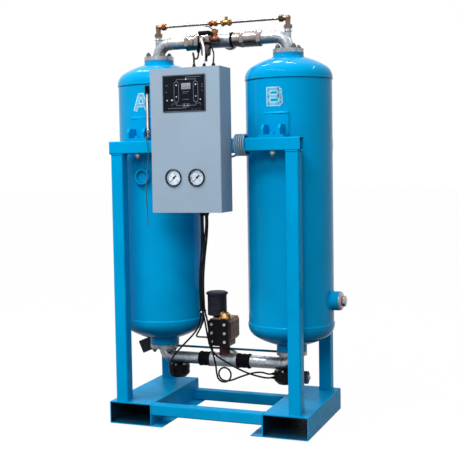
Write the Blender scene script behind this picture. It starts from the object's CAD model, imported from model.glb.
"""Looks of a twin-tower desiccant air dryer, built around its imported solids."""

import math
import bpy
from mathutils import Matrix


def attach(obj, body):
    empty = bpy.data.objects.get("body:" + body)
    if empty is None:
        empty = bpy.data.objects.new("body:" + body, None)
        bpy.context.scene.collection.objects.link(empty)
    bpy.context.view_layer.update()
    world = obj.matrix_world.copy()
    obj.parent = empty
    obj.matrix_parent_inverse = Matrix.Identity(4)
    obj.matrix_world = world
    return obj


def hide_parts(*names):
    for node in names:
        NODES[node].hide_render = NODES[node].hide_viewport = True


bl_info = {
    "name": "Desiccant air dryer",
    "version": (1, 0, 0),
    "blender": (4, 5, 0),
    "location": "3D View > Sidebar > Dryer",
    "description": "Dresses the packed solids of a twin-tower desiccant air dryer",
    "category": "Object",
}

import bmesh
import bpy
from bpy.props import FloatProperty, FloatVectorProperty, IntProperty, PointerProperty
from mathutils import Matrix, Vector

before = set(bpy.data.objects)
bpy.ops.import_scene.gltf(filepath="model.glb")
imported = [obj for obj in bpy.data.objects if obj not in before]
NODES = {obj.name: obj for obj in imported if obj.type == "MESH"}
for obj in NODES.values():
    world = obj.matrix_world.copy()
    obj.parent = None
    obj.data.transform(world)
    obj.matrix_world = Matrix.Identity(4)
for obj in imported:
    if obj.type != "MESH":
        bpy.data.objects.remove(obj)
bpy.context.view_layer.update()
BODY = "dryer"
MM = 0.001

# Places and sizes in millimetres, measured from the plane of the tower axes
PLANE_Y = 58.5
TOWER_X = 274.0
TOWER_R = 167.0
TOP_LINE = 1506.0
LOW_LINE = 230.0
PURGE_LINE = 1576.0
NECK_R = 59.5
NECK_TOP = 1438.0
NECK_BOTTOM = 286.0
NECK_WELDS = (1423.9, 311.1)
FLANGE_T = 16.0
GASKET_T = 2.0
BOLT_RING = 45.0
PIPE_R = 24.15
RISER_R = 13.2
BEAM_TOP = 1114.0
BEAM_Z = 1064.0
TUBE = 50.0
CHANNEL_H = 88.0
CHANNEL_X = 318.0
POCKET_HALF = 86.6
POCKET_FLOOR = 3.0
POCKET_TOP = 85.0
CROSS_END = 228.0
CROSS_HALF = 21.5
CROSS_MEMBERS = ((-220, 66), (208, 26))
SEAM_LOW = 392.0
SEAM_TOP = 1343.0
FILL_Z = 974.0
FILL_BOSS_R = 30.5
DRAIN_Z = 487.0
DRAIN_BOSS_R = 37.0
DRAIN_BOSS_LENGTH = 28.0
LETTER_Z = 1266.0
SILENCER_X = -38.0
EXHAUST_X = (-211, 246)
EXHAUST_TOP = 201.9
COIL_END = (338.8, 0, 180)
POST_X = 355.0
POST_Y = 214.0
CROWN_R = 267.2
KNUCKLE_R = 51.4
VESSEL_WALL = 6.0
SKIRT_PROUD = 2.5
BORE_R = 20.6
BOX_FRONT = -353.0
BOX_X = -12.0
BOX_BOLT_X = 80.0
BOX_GRIP = 55.5
LUG_GRIP = 60.0
PANEL_FACE = BOX_FRONT - 2.5
GAUGE_Z = 972.0
GAUGE_X = (-62.0, 30.0)
DISPLAY = (-14.0, 1278.0, 170.0, 134.0)
FILTER = (-45, -56, 1492)
INDICATOR_X = -228.0
HOSE_GLAND = (80.4, -296, 0)
VALVE_CAP = (12, -36, 403.8)
COVER_MIDDLE = (-8, -70.8, 350)
TIE_PLACE = (-52, -120.6, 446)
TIE_ALONG = (-8.5, 18, -45)
TIE_R = 12.8

# The gauge scales: angles in degrees, ticks and the last number
SCALE_START = 225
SCALE_SWEEP = 270
SCALE_TICKS = 32
SCALE_END = 16

# Turns that lay a shape made along Z on another axis
LAY = {
    "Z": (0.0, 0.0),
    "-Z": (math.pi, 0.0),
    "X": (0.0, math.pi / 2),
    "-X": (0.0, -math.pi / 2),
    "Y": (-math.pi / 2, 0.0),
    "-Y": (math.pi / 2, 0.0),
}

# Cable and hose routes in millimetres
ROUTES = {
    "cable_valve": [
        (25, -288, 828), (25, -288, 800), (20.5, -276, 745), (6, -246, 680), (-17, -206, 610),
        (-35, -168, 545), (-47, -136, 490), (-52.5, -118, 445), (-60, -101, 408), (-72, -89, 380),
        (-89, -76, 356), (-104, -61, 338), (-110, -45, 327.5), (-105, -31, 323), (-92, -24.5, 322),
        (-68.2, -24, 322),
    ],
    "cable_left": [
        (25, -304, 828), (25, -304, 800), (18, -288, 745), (-1.8, -246, 680), (-24.8, -206, 610),
        (-42.8, -168, 545), (-54.8, -136, 490), (-60.5, -118, 445), (-69, -108, 405), (-82, -101, 375),
        (-106, -95, 344), (-138, -91, 312), (-168, -89, 282), (-192, -88, 256), (-205, -89, 234),
        (-210.5, -91, 218), (-211, -91, 206), (-211, -87.2, 192), (-211, -77, 181.8), (-211, -65, 177.9),
        (-211, -57.2, 177.85),
    ],
    "cable_right": [
        (43, -288, 828), (43, -288, 800), (34, -276, 745), (13.8, -246, 680), (-9.2, -206, 610),
        (-27.2, -168, 545), (-39.2, -136, 490), (-44.2, -118, 445), (-39.6, -111, 416), (-36.1, -104, 379),
        (-32.3, -97, 338.5), (-28.2, -90, 297.5), (-23.5, -84, 260), (-17, -81, 224), (-12, -80, 184.5),
        (-8.3, -78.3, 170.8), (1.7, -76.7, 160.7), (15.5, -75, 157), (29.3, -73.3, 160.7),
        (39.3, -71.7, 170.8), (43, -70, 184.5), (39.3, -68.3, 198.2), (29.2, -66.7, 208.3),
        (15.5, -65, 212), (1.8, -63.3, 208.3), (-8.3, -61.7, 198.2), (-12, -60, 184.5),
        (-8.3, -58.3, 170.8), (1.8, -56.7, 160.7), (15.5, -55, 157), (40, -52, 161), (64.4, -49, 171),
        (90.9, -46, 181.5), (117.3, -43.5, 190.5), (143.9, -42, 196.5), (166, -42.5, 197.5),
        (181, -42, 194.5), (191.9, -38, 191.85), (199.1, -32.8, 191.85),
    ],
    "cable_sensor": [
        (43, -304, 828), (43, -304, 800), (31.5, -289, 745), (12, -256, 680), (-17, -215, 610),
        (-35, -176.8, 545), (-47, -145, 490), (-52, -127, 445), (-46.5, -120, 417), (-43, -113, 380.5),
        (-38.4, -106, 339.5), (-32.1, -99, 303), (-20.2, -94, 275.5), (0.5, -89, 257), (27, -82, 240),
        (57, -74, 221.5), (84, -67, 207), (111, -61.5, 196), (134, -57, 188.5), (157, -51.5, 182.5),
        (177, -45.5, 178.3), (191.9, -37.9, 176.85), (199.1, -32.8, 176.85),
    ],
    "cable_top": [
        (4, -296, 1387), (4, -296, 1402), (-2, -284, 1421), (-18, -250, 1432), (-40, -200, 1437.5),
        (-64, -140, 1438.5), (-84, -86, 1437.5), (-96, -48, 1437), (-100, -28, 1437.5),
        (-100, -13.5, 1441.5), (-100, -4, 1451), (-100, 0, 1461), (-100, 0, 1465.3),
    ],
    "air_line_top": [
        (44, -296, 1387), (44, -296, 1402), (38, -282, 1424), (22, -244, 1446), (2, -198, 1462),
        (-17, -158, 1477), (-33, -128, 1492), (-42, -110, 1501.5), (-45, -98, 1505.8), (-45, -90.2, 1506),
    ],
    "drain_hose": [
        (-25.5, -56, 1474), (-18, -61, 1471.5), (-9, -78, 1464),
        (4, -105, 1455), (20, -140, 1445.5), (36, -180, 1435.5),
        (52, -220, 1426.5), (65, -253, 1419), (74.5, -277, 1411.5),
        (79.5, -291, 1402), (80.4, -296, 1393), (80.4, -296, 1385),
    ],
    "vent_line": [
        (-228, -223, 1130), (-227, -234, 1129), (-222, -246, 1122), (-215, -253, 1106), (-209, -256, 1078),
        (-209, -256, 1040), (-214, -256, 995), (-219, -256, 950), (-221, -256, 905), (-219, -256, 860),
        (-217, -256, 820), (-216, -256, 786),
    ],
}
CORD_RADIUS = dict.fromkeys(ROUTES, 3.5)
CORD_RADIUS.update({"air_line_top": 4.0, "drain_hose": 3.0, "vent_line": 2.2, "beam_hose": 4.0})

# Winding of the air tube on the front beam
COIL_Z = 1089.0
COIL_R = 19.0 * math.sqrt(2) + 6.0 + 4.0 + 0.6
COIL_PITCH = 8.6
COIL_START = 133.0
COIL_ENTER = 55.0
COIL_LEAVE = 1830.0
COIL_POINTS = 78
COIL_TAIL = 45


def coil_point(angle):
    turn = math.radians(angle)
    return (COIL_START + COIL_PITCH * (angle - COIL_ENTER) / 360,
            -POST_Y + COIL_R * math.sin(turn), COIL_Z - COIL_R * math.cos(turn))


def coil_route():
    """The air tube from its elbow behind the box, round the beam and on to tower B."""
    lead = [(-49, -14, -44), (-35, -13.5, -44), (-23, -10, -43.5), (-13, -2, -42), (-6, 9, -38),
            (-2, 20, -31.5)]
    route = [(COIL_START + x, y - POST_Y, COIL_Z + z) for x, y, z in lead]
    sweep = COIL_LEAVE - COIL_ENTER
    route += [coil_point(COIL_ENTER + sweep * i / COIL_POINTS) for i in range(COIL_POINTS + 1)]
    x, y, z = route[-1]
    rise = (math.sin(math.radians(60)), math.cos(math.radians(60)))
    reaches = [COIL_TAIL * part for part in (0.35, 0.7, 1)]
    return route + [(x, y + reach * rise[0], z + reach * rise[1]) for reach in reaches]


ROUTES["beam_hose"] = coil_route()


def colour_setting(name, note, default):
    return FloatVectorProperty(name=name, description=note, subtype="COLOR", default=default, min=0, max=1)


class DryerColours(bpy.types.PropertyGroup):
    """Colours that a user would change."""

    enamel: colour_setting("Enamel", "Paint of the towers and the frame", (0.0, 0.318, 0.64))
    box: colour_setting("Box", "Powder coat of the control box", (0.272, 0.365, 0.465))
    zinc: colour_setting("Zinc", "Galvanised pipes", (0.42, 0.455, 0.49))
    nickel: colour_setting("Nickel", "Plated check valves", (0.4, 0.35, 0.335))
    brass: colour_setting("Brass", "Brass fittings", (0.42, 0.23, 0.08))
    copper: colour_setting("Copper", "Copper-coloured fittings", (0.32, 0.1, 0.05))
    black: colour_setting("Black", "Black plastics and rubber", (0.0035, 0.0035, 0.005))
    casting: colour_setting("Casting", "Brown body of the changeover valve", (0.085, 0.028, 0.02))
    dial: colour_setting("Dial", "Faces of the gauges", (0.56, 0.66, 0.78))
    letter: colour_setting("Letter", "Letters on the towers", (0.15, 0.43, 0.6))


class DryerSizes(bpy.types.PropertyGroup):
    """Sizes that a user would change."""

    edge: FloatProperty(name="Edge", description="Rounding of the frame's edges", default=0.0012,
                        min=0.0002, max=0.004, unit="LENGTH")
    steps: IntProperty(name="Steps", description="Steps round a turned piece", default=48, min=24, max=96)


# Modelling

def at(x, y, z):
    """A place in metres in the part's frame, from millimetres off the tower plane."""
    return Vector((x, y + PLANE_Y, z)) * MM


def facing(axis, way):
    """The axis itself, or its opposite for a negative way."""
    return axis if way > 0 else "-" + axis


def circle(count, radius, start=0.0):
    """Points evenly round a circle, from a start in degrees."""
    turns = [math.radians(start + 360 * i / count) for i in range(count)]
    return [(radius * math.cos(turn), radius * math.sin(turn)) for turn in turns]


def leave():
    """Back to object mode."""
    bpy.ops.object.mode_set(mode="OBJECT")


def start_clean():
    """Object mode with nothing selected."""
    if bpy.context.mode != "OBJECT":
        leave()
    bpy.ops.object.select_all(action="DESELECT")


def take(*objs):
    """Selects these objects and makes the first one active."""
    start_clean()
    for obj in objs:
        obj.select_set(True)
    bpy.context.view_layer.objects.active = objs[0]


def edit(obj):
    """Edit mode with everything selected."""
    take(obj)
    bpy.ops.object.mode_set(mode="EDIT")
    bpy.ops.mesh.select_all(action="SELECT")


def pick_faces(obj, test):
    """Selects, in edit mode, the faces whose centre and normal pass a test."""
    mesh = bmesh.from_edit_mesh(obj.data)
    bpy.ops.mesh.select_mode(type="FACE")
    bpy.ops.mesh.select_all(action="DESELECT")
    for face in mesh.faces:
        face.select = test(face.calc_center_median(), face.normal)
    mesh.select_flush_mode()
    bmesh.update_edit_mesh(obj.data)


def tidy_mesh(obj, gap=1e-6):
    """Merges doubles and turns the faces outwards."""
    edit(obj)
    bpy.ops.mesh.remove_doubles(threshold=gap)
    bpy.ops.mesh.normals_make_consistent(inside=False)
    leave()


def shaken(obj, offset, seed):
    """Moves the points of a weld bead a little, so that it looks uneven."""
    edit(obj)
    bpy.ops.transform.vertex_random(offset=offset, uniform=0.4, seed=seed)
    leave()


def settle(obj):
    """Puts an object's place, turn and scale into its mesh."""
    take(obj)
    bpy.ops.object.transform_apply(location=True, rotation=True, scale=True)
    return obj


def lay(obj, place, axis="Z", spin=0.0):
    """Turns a piece made along Z onto an axis and moves it to its place."""
    turn = Matrix.Rotation(LAY[axis][0], 4, "X") @ Matrix.Rotation(LAY[axis][1], 4, "Y")
    obj.matrix_world = Matrix.Translation(place) @ turn @ Matrix.Rotation(spin, 4, "Z")
    return settle(obj)


def applied(obj, kind, **settings):
    """Adds a modifier with these settings and applies it."""
    take(obj)
    mod = obj.modifiers.new(kind.lower(), kind)
    for key, value in settings.items():
        setattr(mod, key, value)
    bpy.ops.object.modifier_apply(modifier=mod.name)
    return obj


def soften(obj, width, segments=2, angle=35):
    """Rounds the sharp edges of a piece."""
    return applied(obj, "BEVEL", width=width, segments=segments, limit_method="ANGLE",
                   angle_limit=math.radians(angle), use_clamp_overlap=True)


def smooth(obj, angle=32):
    take(obj)
    bpy.ops.object.shade_smooth_by_angle(angle=math.radians(angle))
    return obj


def thicken(obj, depth):
    """Gives a flat print or film a thickness."""
    return applied(obj, "SOLIDIFY", thickness=depth, offset=-1)


def joined(name, objs):
    """Joins pieces into one object."""
    take(*objs)
    if len(objs) > 1:
        bpy.ops.object.join()
    obj = bpy.context.view_layer.objects.active
    obj.name = name
    obj.data.name = name
    return obj


def dress(obj, look, stands_for=()):
    """Gives a finished piece its material, its body and what it stands for."""
    obj.data.materials.clear()
    obj.data.materials.append(finish_of(look))
    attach(obj, BODY)
    if stands_for:
        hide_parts(*stands_for)
    return obj


def grouped(name, parts, look, stands_for=(), angle=32):
    """One finished piece from several parts."""
    return dress(smooth(joined(name, parts), angle), look, stands_for)


def turned(profile, place, axis="Z", steps=None):
    """Spins a profile of (radius, height) points in millimetres about an axis."""
    steps = steps or bpy.context.scene.dryer_sizes.steps
    start_clean()
    bpy.ops.mesh.primitive_plane_add(size=MM)
    obj = bpy.context.object
    bpy.ops.object.mode_set(mode="EDIT")
    bpy.ops.mesh.select_mode(type="VERT")
    bpy.ops.mesh.select_all(action="SELECT")
    bpy.ops.mesh.merge(type="CENTER")
    r, z = profile[0]
    bpy.ops.transform.translate(value=(r * MM, 0, z * MM))
    for next_r, next_z in profile[1:]:
        step = ((next_r - r) * MM, 0, (next_z - z) * MM)
        bpy.ops.mesh.extrude_region_move(TRANSFORM_OT_translate={"value": step})
        r, z = next_r, next_z
    bpy.ops.mesh.select_all(action="SELECT")
    bpy.ops.mesh.spin(steps=steps, angle=2 * math.pi, center=(0, 0, 0), axis=(0, 0, 1))
    leave()
    tidy_mesh(obj)
    return lay(obj, place, axis)


def hexagon(across, height, place, axis="Z", spin=0.0):
    """A hexagon nut or head with chamfered corners, in millimetres."""
    start_clean()
    bpy.ops.mesh.primitive_cylinder_add(vertices=6, radius=across / math.sqrt(3) * MM, depth=height * MM,
                                        location=(0, 0, height / 2 * MM))
    obj = settle(bpy.context.object)
    edit(obj)
    pick_faces(obj, lambda centre, normal: abs(normal.z) > 0.9)
    least = min(height, across) * MM
    bpy.ops.mesh.inset(thickness=across * 0.07 * MM, depth=least * 0.08)
    leave()
    soften(obj, least * 0.03, 2, 30)
    return lay(obj, place, axis, spin)


def block(size, place, edge, segments=3):
    """A box with rounded edges; size and edge in millimetres, place is its centre in metres."""
    start_clean()
    bpy.ops.mesh.primitive_cube_add(size=1, location=place)
    obj = bpy.context.object
    obj.scale = Vector(size) * MM
    settle(obj)
    return soften(obj, edge * MM, segments)


def copy_of(obj, name):
    """A copy with its own mesh."""
    take(obj)
    bpy.ops.object.duplicate(linked=False)
    made = bpy.context.object
    made.name = name
    return made


def copies(model, spots):
    """Copies of a piece made at the origin, each laid at a place, along an axis and with a spin."""
    made = [lay(copy_of(model, model.name), *spot) for spot in spots]
    bpy.data.objects.remove(model)
    return made


def from_solid(node, name, look, width, segments=2):
    """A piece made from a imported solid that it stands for, merged and with its edges rounded."""
    obj = copy_of(NODES[node], name)
    world = obj.matrix_world.copy()
    obj.parent = None
    obj.matrix_world = world
    for key in [k for k in obj.keys() if k.startswith("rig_")]:
        del obj[key]
    edit(obj)
    bpy.ops.mesh.customdata_custom_splitnormals_clear()
    bpy.ops.mesh.remove_doubles(threshold=1e-6)
    bpy.ops.mesh.dissolve_limited(angle_limit=math.radians(0.6))
    leave()
    smooth(soften(obj, width, segments))
    applied(obj, "WEIGHTED_NORMAL", keep_sharp=True, weight=100)
    return dress(obj, look, [node])


def bead(radius, place, thick, seed, axis="Z"):
    """A slightly uneven weld bead round a circle; sizes in millimetres."""
    start_clean()
    bpy.ops.mesh.primitive_torus_add(major_radius=radius * MM, minor_radius=thick * MM,
                                     major_segments=max(48, int(radius * 1.2)), minor_segments=8)
    obj = bpy.context.object
    shaken(obj, thick * 0.16 * MM, seed)
    return lay(obj, place, axis)


def cord_curve(name, points, radius):
    """A smooth round cord through the points; radius in millimetres."""
    start_clean()
    bpy.ops.curve.primitive_bezier_curve_add()
    obj = bpy.context.object
    obj.name = name
    obj.location = (0, 0, 0)
    spline = obj.data.splines[0]
    spline.bezier_points.add(len(points) - len(spline.bezier_points))
    for knot, point in zip(spline.bezier_points, points):
        knot.co = point
        knot.handle_left_type = "AUTO"
        knot.handle_right_type = "AUTO"
    obj.data.dimensions = "3D"
    obj.data.bevel_depth = radius * MM
    obj.data.bevel_resolution = 4
    obj.data.resolution_u = 8
    obj.data.use_fill_caps = True
    return obj


def weld_path(points, thick, seed, closed=True):
    """An uneven weld bead along a path; thickness in millimetres."""
    obj = cord_curve("weld", points, thick)
    spline = obj.data.splines[0]
    spline.use_cyclic_u = closed
    for knot in spline.bezier_points:
        knot.handle_left_type = "VECTOR"
        knot.handle_right_type = "VECTOR"
    obj.data.bevel_resolution = 2
    take(obj)
    bpy.ops.object.convert(target="MESH")
    shaken(obj, thick * 0.18 * MM, seed)
    tidy_mesh(obj)
    return obj


def square_loop(half_u, half_v, cut):
    """Corner points of a rectangle with cut corners."""
    u, v = half_u - cut, half_v - cut
    return [(half_u, -v), (half_u, v), (u, half_v), (-u, half_v),
            (-half_u, v), (-half_u, -v), (-u, -half_v), (u, -half_v)]


def thread(radius, start, length, pitch=1.75):
    """Profile points of a screw thread, from start upwards."""
    root = radius - 0.9
    count = max(2, int(length / pitch))
    points = []
    for i in range(count):
        z = start + length * i / count
        points += [(root, z), (radius, z + length / count / 2)]
    return points + [(root, start + length)]


def stretches(lines):
    """The middle, the length and the slope of each straight stretch of some lines."""
    for line in lines:
        for (u0, v0), (u1, v1) in zip(line, line[1:]):
            middle = Vector(((u0 + u1) / 2, 0, (v0 + v1) / 2))
            yield middle, math.hypot(u1 - u0, v1 - v0), math.atan2(v1 - v0, u1 - u0)


def strokes(name, lines, thick, deep, place):
    """Printed lines on a face that looks to the front; lines in millimetres from the place."""
    parts = []
    for middle, length, slope in stretches(lines):
        start_clean()
        bpy.ops.mesh.primitive_cube_add(size=MM)
        part = bpy.context.object
        part.scale = (length + thick, deep, thick)
        part.rotation_euler = (0, -slope, 0)
        part.location = place + (middle - Vector((0, deep / 2, 0))) * MM
        parts.append(settle(part))
    return joined(name, parts)


def words(text, width, height, swell=0.0):
    """Flat letters that look to the front, centred on the origin; sizes in millimetres."""
    start_clean()
    bpy.ops.object.text_add()
    obj = bpy.context.object
    obj.data.body = text
    obj.data.size = 0.1
    obj.data.offset = swell
    obj.data.resolution_u = 6
    bpy.ops.object.convert(target="MESH")
    obj = bpy.context.object
    xs = [v.co.x for v in obj.data.vertices]
    ys = [v.co.y for v in obj.data.vertices]
    grow_x = width * MM / (max(xs) - min(xs))
    grow_y = height * MM / (max(ys) - min(ys))
    middle = Vector((-(min(xs) + max(xs)) / 2, -(min(ys) + max(ys)) / 2, 0))
    obj.matrix_world = (Matrix.Rotation(math.pi / 2, 4, "X") @ Matrix.Diagonal((grow_x, grow_y, 1, 1))
                        @ Matrix.Translation(middle))
    settle(obj)
    tidy_mesh(obj, 1e-7)
    return obj


def repaint(obj, test, look):
    """Gives the faces that pass a test another finish."""
    obj.data.materials.append(finish_of(look))
    edit(obj)
    pick_faces(obj, test)
    obj.active_material_index = len(obj.data.materials) - 1
    bpy.ops.object.material_slot_assign()
    leave()


# Materials

def feed(tree, socket, value):
    """Sets an input to a value, or links it to the output of another node."""
    if isinstance(value, bpy.types.NodeSocket):
        tree.links.new(value, socket)
    else:
        socket.default_value = value


def add(tree, kind, **inputs):
    """A new shader node with these inputs; an underscore stands for a space."""
    made = tree.nodes.new("ShaderNode" + kind)
    for key, value in inputs.items():
        feed(tree, made.inputs[key.replace("_", " ")], value)
    return made


def maths(tree, operation, first, second):
    made = tree.nodes.new("ShaderNodeMath")
    made.operation = operation
    feed(tree, made.inputs[0], first)
    feed(tree, made.inputs[1], second)
    return made.outputs["Value"]


def shader(name, colour, roughness, metallic=0.0):
    """A new material; returns it with its node tree and its main shader."""
    material = bpy.data.materials.new(name)
    material.use_nodes = True
    tree = material.node_tree
    main = tree.nodes["Principled BSDF"]
    main.inputs["Base Color"].default_value = (*colour, 1)
    main.inputs["Roughness"].default_value = roughness
    main.inputs["Metallic"].default_value = metallic
    return material, tree, main


def places(tree, stretch=(1, 1, 1)):
    """Object coordinates, stretched."""
    coord = add(tree, "TexCoord").outputs["Object"]
    return add(tree, "Mapping", Scale=stretch, Vector=coord).outputs["Vector"]


def along_z(tree, output):
    """The Z of a coordinate: of Object for the height, of Normal for how far a side looks up."""
    coord = add(tree, "TexCoord").outputs[output]
    return add(tree, "SeparateXYZ", Vector=coord).outputs["Z"]


def cloud(tree, scale, detail, stretch=(1, 1, 1)):
    noise = add(tree, "TexNoise", Scale=scale, Detail=detail, Roughness=0.55, Vector=places(tree, stretch))
    return noise.outputs["Fac"]


def cells(tree, scale):
    """A grey of its own for each crystal."""
    pattern = add(tree, "TexVoronoi", Scale=scale, Vector=places(tree))
    return add(tree, "RGBToBW", Color=pattern.outputs["Color"]).outputs["Val"]


def span(tree, value, low, high, start=0.3, end=0.7):
    """Maps a value between start and end to low and high."""
    made = add(tree, "MapRange", From_Min=start, From_Max=end, To_Min=low, To_Max=high, Value=value)
    return made.outputs["Result"]


def mixed(tree, factor, first, second):
    """A colour between two others, each a colour or a socket."""
    node = tree.nodes.new("ShaderNodeMix")
    node.data_type = "RGBA"
    tree.links.new(factor, node.inputs["Factor"])
    for key, value in (("A", first), ("B", second)):
        socket = next(s for s in node.inputs if s.name == key and s.type == "RGBA")
        feed(tree, socket, value if isinstance(value, bpy.types.NodeSocket) else (*value, 1))
    return next(s for s in node.outputs if s.type == "RGBA")


def shade_of(colour, factor):
    return tuple(min(1.0, c * factor) for c in colour)


def shades(tree, value, colour, dark, light):
    """A colour that goes from a dark to a light shade of itself with a value."""
    return mixed(tree, value, shade_of(colour, dark), shade_of(colour, light))


def mottled(tree, colour, noise, dark, light):
    """A colour in soft patches of two shades."""
    return shades(tree, span(tree, cloud(tree, *noise), 0, 1), colour, dark, light)


def grimed(tree, body, dark, amount, until=0.2):
    """Darkens the sides that look down, where oil and dust gather."""
    return mixed(tree, span(tree, along_z(tree, "Normal"), amount, 0, -0.7, until), body, dark)


def coat(tree, main, body, wear, roughness, grain, strength, depth, stretch=(1, 1, 1)):
    """Links the colour of a finish, its uneven roughness and its fine relief."""
    tree.links.new(body, main.inputs["Base Color"])
    tree.links.new(span(tree, cloud(tree, *wear, stretch), *roughness), main.inputs["Roughness"])
    bump = add(tree, "Bump", Strength=strength, Distance=depth, Height=cloud(tree, *grain, stretch))
    tree.links.new(bump.outputs["Normal"], main.inputs["Normal"])


def enamel_finish(name, colour, dust=0.0, roughness=(0.08, 0.14), gloss=0.075):
    """Glossy shop enamel with a slight orange peel, and dust low down if asked."""
    material, tree, main = shader(name, colour, 0.3)
    body = mottled(tree, colour, noise=(5, 4), dark=0.93, light=1.06)
    if dust:
        low = span(tree, along_z(tree, "Object"), dust, 0, 0.0, 0.12)
        specks = maths(tree, "MULTIPLY", low, span(tree, cloud(tree, 22, 6), 0, 1, 0.45, 0.75))
        body = mixed(tree, specks, body, (0.2, 0.19, 0.17))
    body = grimed(tree, body, shade_of(colour, 0.3), amount=0.75, until=-0.05)
    coat(tree, main, body, wear=(34, 3), roughness=roughness, grain=(260, 2), strength=0.03, depth=0.0003)
    shine = span(tree, along_z(tree, "Normal"), gloss * 0.25, gloss, -0.6, 0.0)
    tree.links.new(shine, main.inputs["Specular IOR Level"])
    main.inputs["Specular Tint"].default_value = (0.12, 0.42, 0.7, 1)
    return material


def zinc_finish(name, colour, roughness=(0.26, 0.44), stains=0.5):
    """Galvanised steel with spangle and dark stains."""
    material, tree, main = shader(name, colour, 0.4, 0.7)
    spangle = shades(tree, span(tree, cells(tree, 95), 0, 1, 0.2, 0.8), colour, dark=0.8, light=1.2)
    spots = span(tree, cloud(tree, 26, 6), 0, stains, 0.55, 0.72)
    stained = mixed(tree, spots, spangle, shade_of(colour, 0.22))
    body = grimed(tree, stained, shade_of(colour, 0.2), amount=0.92)
    coat(tree, main, body, wear=(60, 4), roughness=roughness, grain=(240, 4), strength=0.16, depth=0.0008)
    return material


def plated_finish(name, colour, roughness=(0.14, 0.26), stretch=(1, 1, 1)):
    """Bare or plated metal with fine tool marks."""
    material, tree, main = shader(name, colour, 0.2, 1.0)
    tone = mottled(tree, colour, noise=(40, 5), dark=0.7, light=1.15)
    body = grimed(tree, tone, shade_of(colour, 0.12), amount=0.9)
    coat(tree, main, body, wear=(130, 4), roughness=roughness, grain=(500, 3), strength=0.05, depth=0.0004,
         stretch=stretch)
    return material


def plastic_finish(name, colour, roughness, grain=900, lift=0.12, gloss=0.3):
    """Moulded plastic or rubber with a fine grain and handling marks."""
    material, tree, main = shader(name, colour, 0.5)
    body = mottled(tree, colour, noise=(18, 5), dark=0.8, light=1.3)
    coat(tree, main, body, wear=(75, 4), roughness=roughness, grain=(grain, 2), strength=lift, depth=0.0005)
    main.inputs["Specular IOR Level"].default_value = gloss
    return material


def powder_finish(name, colour):
    """Fine-textured powder coat."""
    material, tree, main = shader(name, colour, 0.5)
    body = mottled(tree, colour, noise=(6, 4), dark=0.96, light=1.03)
    coat(tree, main, body, wear=(300, 3), roughness=(0.42, 0.56), grain=(1400, 2), strength=0.12,
         depth=0.0004)
    return material


def cast_finish(name, colour, bloom):
    """Painted casting with a sandy skin, rubbed spots and a pale bloom on the sides that look up."""
    material, tree, main = shader(name, colour, 0.42)
    main.inputs["Specular IOR Level"].default_value = 0.12
    tone = mottled(tree, colour, noise=(30, 6), dark=0.55, light=1.5)
    dusty = mottled(tree, bloom, noise=(55, 5), dark=0.7, light=1.2)
    body = mixed(tree, span(tree, along_z(tree, "Normal"), 0, 1, 0.4, 0.95), tone, dusty)
    coat(tree, main, body, wear=(90, 4), roughness=(0.3, 0.55), grain=(380, 4), strength=0.25, depth=0.0008)
    return material


def clear_finish(name, colour):
    """Thin clear glass or acrylic."""
    material, tree, main = shader(name, colour, 0.02)
    main.inputs["Transmission Weight"].default_value = 1.0
    main.inputs["IOR"].default_value = 1.08
    tree.links.new(span(tree, cloud(tree, 40, 3), 0.0, 0.05), main.inputs["Roughness"])
    return material


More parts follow.
